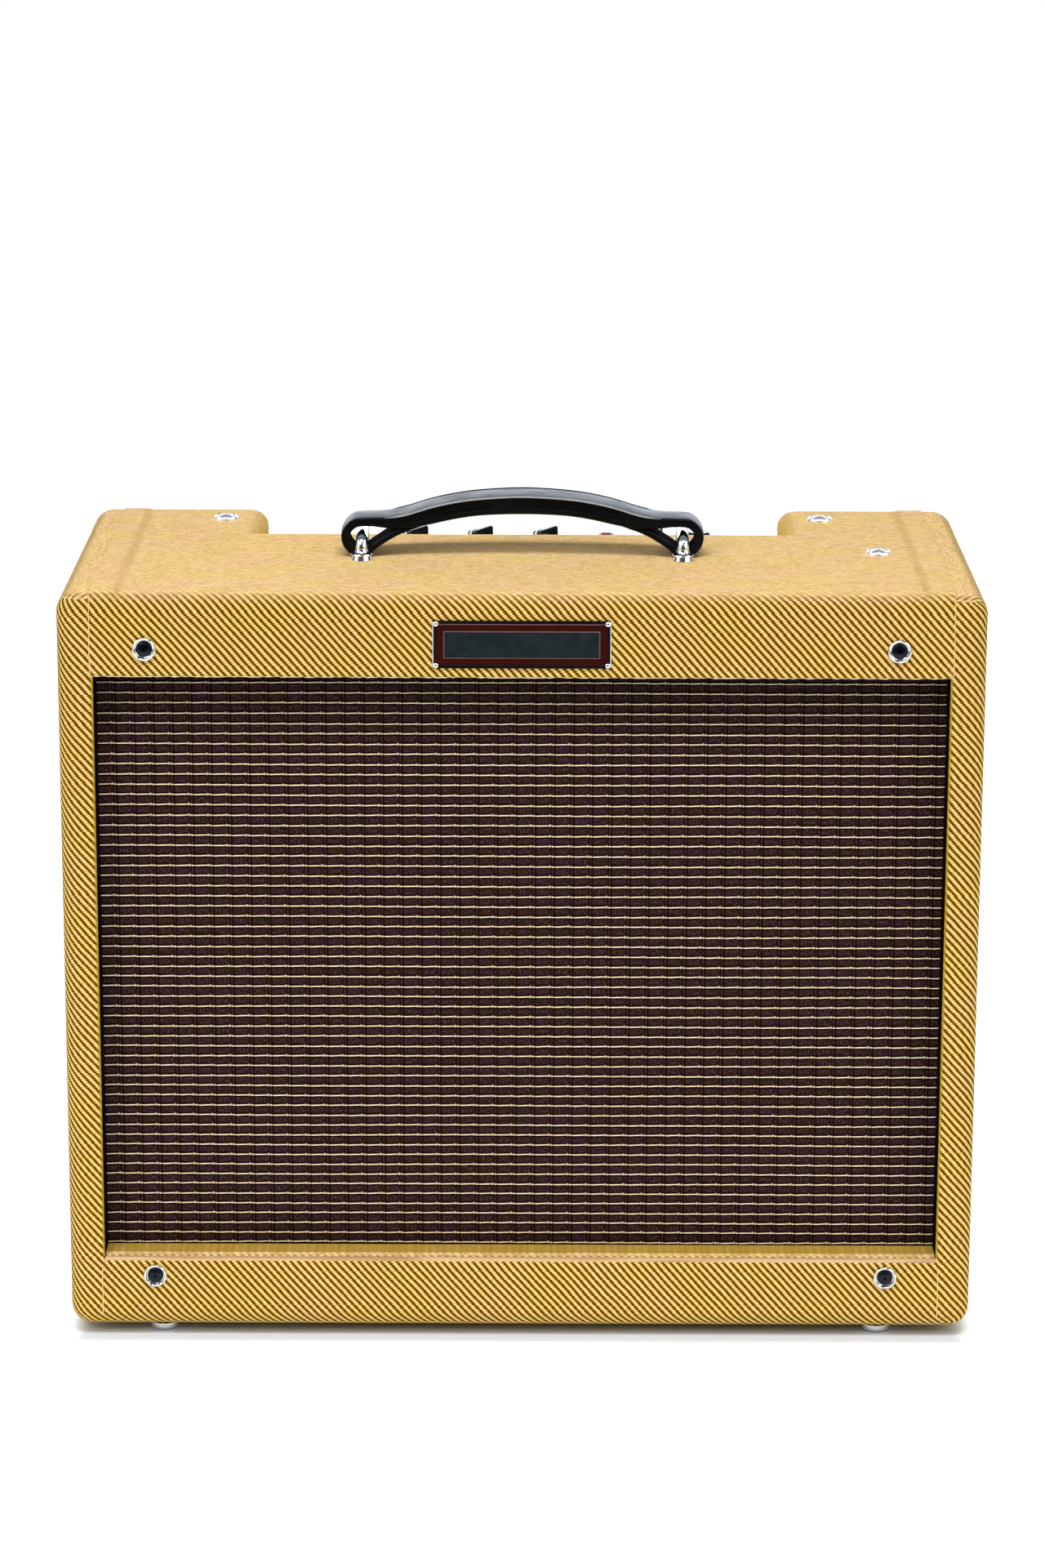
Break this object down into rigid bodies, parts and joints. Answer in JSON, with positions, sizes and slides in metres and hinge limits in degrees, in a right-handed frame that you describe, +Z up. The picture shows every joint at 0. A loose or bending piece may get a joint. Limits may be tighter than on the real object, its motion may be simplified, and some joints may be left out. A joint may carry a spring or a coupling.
{
  "type": "guitar amplifier",
  "caption": "Portable valve guitar combo amplifier: cloth-covered open-back cabinet, grille with corded cloth, top-mounted controls in a rear recess, and a leather strap handle.",
  "frame": {"origin": "on the floor under the middle of the object's box", "axes": "+Z up, +X to the right seen from the front, the front faces -Y"},
  "size_m": [0.508, 0.2522, 0.465],
  "materials": {
    "tweed": "lacquered diagonal twill, golden with brown ribs",
    "grille_cloth": "dark oxblood weave with raised cream cords",
    "pine": "planed, unfinished",
    "plywood": "birch plywood, unfinished",
    "black_leather": "smooth, satin, dressed edges",
    "chrome": "polished plating",
    "panel_chrome": "polished plated sheet",
    "steel": "zinc plated",
    "black_steel": "black oxide",
    "black_plastic": "moulded phenolic",
    "brown_enamel": "gloss enamel with a bright edge",
    "jewel": "faceted glass",
    "valve_glass": "clear glass over dark plates",
    "cone_paper": "pressed paper",
    "magnet_ferrite": "painted",
    "transformer_steel": "dark lacquered laminations",
    "fibre_board": "waxed fibre",
    "cord_jacket": "matte jacket"
  },
  "bodies": {
    "root": {"baffle_board": "plywood", "baffle_screw_1": "black_steel", "baffle_screw_2": "black_steel", "baffle_screw_3": "black_steel", "baffle_screw_4": "black_steel", "bottom_panel": "pine", "chassis": "panel_chrome", "chassis_screw_1": "chrome", "chassis_screw_2": "chrome", "chassis_screw_3": "chrome", "circuit_board": "fibre_board", "cup_washer_1": "chrome", "cup_washer_2": "chrome", "cup_washer_3": "chrome", "cup_washer_4": "chrome", "foot_1": "chrome", "foot_2": "chrome", "foot_3": "chrome", "foot_4": "chrome", "fuse_holder": "black_plastic", "grille_cloth": "grille_cloth", "handle_bail_left": "chrome", "handle_bail_right": "chrome", "input_jack_1": "steel", "input_jack_2": "steel", "lower_back_panel": "tweed", "lower_front_rail": "pine", "mains_inlet": "black_plastic", "name_plate": "brown_enamel", "output_transformer": "transformer_steel", "pilot_jewel": "jewel", "pilot_lamp_holder": "chrome", "potentiometer_1": "steel", "potentiometer_2": "steel", "potentiometer_3": "steel", "power_switch_body": "chrome", "power_transformer": "transformer_steel", "power_valve_1": "valve_glass", "power_valve_2": "valve_glass", "preamp_valve_1": "valve_glass", "preamp_valve_2": "valve_glass", "rectifier_valve": "valve_glass", "side_panel_left": "pine", "side_panel_right": "pine", "speaker_frame": "steel", "speaker_lead": "cord_jacket", "speaker_motor": "magnet_ferrite", "speaker_surround": "cone_paper", "top_panel": "pine", "tweed_covering": "tweed", "upper_back_panel": "tweed", "upper_front_rail": "pine"},
    "knob_1": {"knob_1": "black_plastic"},
    "knob_2": {"knob_2": "black_plastic"},
    "knob_3": {"knob_3": "black_plastic"},
    "lever": {"power_switch_lever": "chrome"},
    "fuse": {"fuse_cap": "black_plastic"},
    "handle": {"handle_grip": "black_leather"},
    "cone": {"speaker_cone": "cone_paper"}
  },
  "joints": [
    {"name": "knob_1_turn", "type": "hinge", "parent": "root", "child": "knob_1", "pos_m": [-0.062, 0.0811, 0.4129], "axis": [0, 0, 1], "range_deg": [-118, 182]},
    {"name": "knob_2_turn", "type": "hinge", "parent": "root", "child": "knob_2", "pos_m": [-0.024, 0.0811, 0.4129], "axis": [0, 0, 1], "range_deg": [-118, 182]},
    {"name": "knob_3_turn", "type": "hinge", "parent": "root", "child": "knob_3", "pos_m": [0.014, 0.0811, 0.4129], "axis": [0, 0, 1], "range_deg": [-118, 182]},
    {"name": "power_switch_throw", "type": "hinge", "parent": "root", "child": "lever", "pos_m": [0.08, 0.0811, 0.4127], "axis": [1, 0, 0], "range_deg": [-24, 0]},
    {"name": "fuse_cap_turn", "type": "hinge", "parent": "root", "child": "fuse", "pos_m": [0.103, 0.0811, 0.4097], "axis": [0, 0, 1], "range_deg": [0, 90]},
    {"name": "handle_lift", "type": "slide", "parent": "root", "child": "handle", "axis": [0, 0, 1], "range_m": [0, 0.0036]},
    {"name": "cone_travel", "type": "slide", "parent": "root", "child": "cone", "axis": [0, 1, 0], "range_m": [-0.002, 0.002], "stiffness_N_per_m": 7000, "deforming": ["speaker_surround"]}
  ]
}
